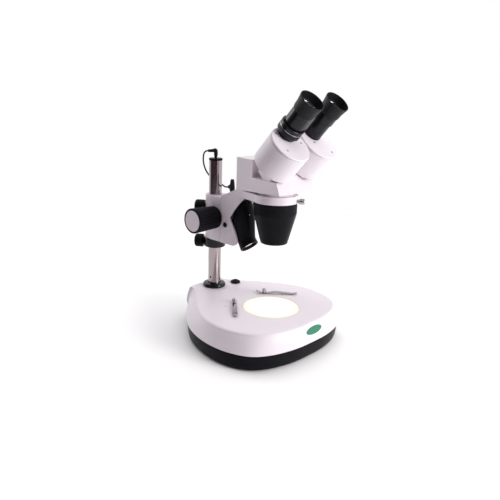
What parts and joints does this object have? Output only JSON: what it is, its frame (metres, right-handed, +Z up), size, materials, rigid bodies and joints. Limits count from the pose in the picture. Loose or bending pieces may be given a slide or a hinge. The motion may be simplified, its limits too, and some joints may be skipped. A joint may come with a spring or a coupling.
{
  "type": "stereo microscope",
  "caption": "Bench stereo microscope with an illuminated base, a pillar stand with focusing arm, a tilting lamp, a rotating head with paired objectives, and adjustable angled eyepieces.",
  "frame": {"origin": "on the optical axis, at the level of the feet: the vertical line through the centre of the stage plate", "axes": "+Z up along the pillar, +Y from the eyepieces towards the pillar at the back, +X to the right of a user who looks into the eyepieces"},
  "size_m": [0.2622, 0.2813, 0.4168],
  "materials": {
    "white_paint": "satin off-white paint",
    "white_plastic": "satin off-white moulding",
    "black_plastic": "moulded near-black plastic",
    "black_metal": "black anodised",
    "rubber": "soft black rubber",
    "chrome": "polished",
    "steel": "plain",
    "stage": "frosted, lit from below",
    "reflector": "white reflector",
    "led": "warm light source",
    "lens": "coated",
    "lamp_glass": "frosted warm",
    "cap": "pale grey disc"
  },
  "bodies": {
    "base": {"base_cover": "white_plastic", "base_tray": "black_plastic", "access_cover": "black_plastic", "foot_front_R": "rubber", "foot_front_L": "rubber", "foot_rear_R": "rubber", "foot_rear_L": "rubber", "light_well": "reflector", "led_board": "led", "power_inlet": "black_plastic", "dimmer_control": "black_plastic", "clip_screw_R": "chrome", "clip_screw_L": "chrome", "pillar": "chrome", "pillar_flange": "black_metal", "pillar_cap": "black_plastic", "lead_plug_top": "black_plastic", "lamp_lead": "rubber"},
    "stage": {"stage_plate": "stage"},
    "dimmer": {"dimmer_knob": "black_plastic"},
    "clip_R": {"stage_clip_R": "chrome"},
    "clip_L": {"stage_clip_L": "chrome"},
    "collar": {"stop_collar": "black_metal"},
    "collar_thumbscrew": {"collar_screw": "black_plastic"},
    "clamp": {"pillar_clamp": "white_paint"},
    "clamp_thumbscrew": {"clamp_knob": "black_plastic"},
    "focus_drive": {"focus_shaft": "steel", "focus_knob_R": "black_plastic", "focus_knob_L": "black_plastic", "knob_cap_R": "cap", "knob_cap_L": "cap"},
    "carriage": {"arm": "white_paint", "focus_rack": "steel", "lead_plug_arm": "black_plastic", "lamp_pin": "black_metal"},
    "head_lock": {"head_screw": "chrome"},
    "lamp": {"lamp_housing": "black_plastic", "lamp_lens": "lamp_glass", "lamp_bulb": "lamp_glass"},
    "head": {"head_body": "white_paint"},
    "turret": {"objective_turret": "black_plastic", "objective_2x_R": "lens", "objective_4x_front": "lens", "objective_2x_L": "lens", "objective_4x_rear": "lens"},
    "ocular_L": {"drum_L": "white_plastic", "drum_plate_L": "white_plastic", "prism_L": "lens", "eye_tube_L": "black_metal"},
    "ocular_R": {"drum_R": "white_plastic", "drum_plate_R": "white_plastic", "prism_R": "lens", "eye_tube_R": "black_metal"},
    "dioptre": {"dioptre_ring": "black_plastic"},
    "eye_L": {"eyepiece_L": "black_metal", "eye_lens_L": "lens", "eyecup_L": "rubber"},
    "eye_R": {"eyepiece_R": "black_metal", "eye_lens_R": "lens", "eyecup_R": "rubber"}
  },
  "joints": [
    {"name": "height_slide", "type": "slide", "parent": "base", "child": "collar", "axis": [0, 0, 1], "range_m": [-0.045, 0.05], "deforming": ["lamp_lead"]},
    {"name": "collar_screw_turn", "type": "hinge", "parent": "collar", "child": "collar_thumbscrew", "pos_m": [0, 0.144, 0.147], "axis": [-0.5739, 0.8189, 0], "range_deg": [0, 360]},
    {"name": "pillar_swing", "type": "hinge", "parent": "collar", "child": "clamp", "pos_m": [0, 0.144, 0.2], "axis": [0, 0, 1], "range_deg": [-60, 90]},
    {"name": "clamp_screw_turn", "type": "hinge", "parent": "clamp", "child": "clamp_thumbscrew", "pos_m": [0, 0.144, 0.211], "axis": [-0.5739, 0.8189, 0], "range_deg": [0, 360]},
    {"name": "focus_travel", "type": "slide", "parent": "clamp", "child": "carriage", "axis": [0, 0, 1], "range_m": [-0.022, 0.022]},
    {"name": "focus_knobs", "type": "hinge", "parent": "clamp", "child": "focus_drive", "pos_m": [0, 0.124, 0.1985], "axis": [1, 0, 0], "range_deg": [-232, 232]},
    {"name": "lamp_tilt", "type": "hinge", "parent": "carriage", "child": "lamp", "pos_m": [0, 0.097, 0.189], "axis": [1, 0, 0], "range_deg": [-6, 8]},
    {"name": "head_screw_turn", "type": "hinge", "parent": "carriage", "child": "head_lock", "pos_m": [0, 0, 0.2473], "axis": [0.4202, -0.9074, 0], "range_deg": [0, 360]},
    {"name": "head_rotation", "type": "hinge", "parent": "carriage", "child": "head", "pos_m": [0, 0, 0.267], "axis": [0, 0, 1], "continuous": true},
    {"name": "objective_change", "type": "hinge", "parent": "head", "child": "turret", "pos_m": [0, 0, 0.207], "axis": [0, 0, 1], "range_deg": [0, 90]},
    {"name": "interpupillary_L", "type": "hinge", "parent": "head", "child": "ocular_L", "pos_m": [-0.034, -0.0545, 0.3415], "axis": [0, -0.6691, 0.7431], "range_deg": [-11, 23]},
    {"name": "interpupillary_R", "type": "hinge", "parent": "head", "child": "ocular_R", "pos_m": [0.034, -0.0545, 0.3415], "axis": [0, -0.6691, 0.7431], "range_deg": [-23, 11]},
    {"name": "dioptre_turn", "type": "hinge", "parent": "ocular_L", "child": "dioptre", "pos_m": [-0.0307, -0.04112, 0.35354], "axis": [0, -0.6691, 0.7431], "range_deg": [-170, 170]},
    {"name": "eyepiece_L_pull", "type": "slide", "parent": "ocular_L", "child": "eye_L", "axis": [0, -0.6691, 0.7431], "range_m": [0, 0.02]},
    {"name": "eyepiece_R_pull", "type": "slide", "parent": "ocular_R", "child": "eye_R", "axis": [0, -0.6691, 0.7431], "range_m": [0, 0.02]},
    {"name": "stage_lift", "type": "slide", "parent": "base", "child": "stage", "axis": [0, 0, 1], "range_m": [0, 0.02]},
    {"name": "dimmer_turn", "type": "hinge", "parent": "base", "child": "dimmer", "pos_m": [0.04, 0.128, 0.063], "axis": [0, 0, 1], "range_deg": [0, 270]},
    {"name": "clip_R_swing", "type": "hinge", "parent": "base", "child": "clip_R", "pos_m": [0.038, 0.051, 0.062], "axis": [0, 0, 1], "range_deg": [-110, 40]},
    {"name": "clip_L_swing", "type": "hinge", "parent": "base", "child": "clip_L", "pos_m": [-0.038, 0.051, 0.062], "axis": [0, 0, 1], "range_deg": [-40, 110]}
  ],
  "couplings": [
    {"joint": "focus_knobs", "follows": "focus_travel", "rad_per_m": -181.82},
    {"joint": "interpupillary_R", "follows": "interpupillary_L", "ratio": -1}
  ]
}
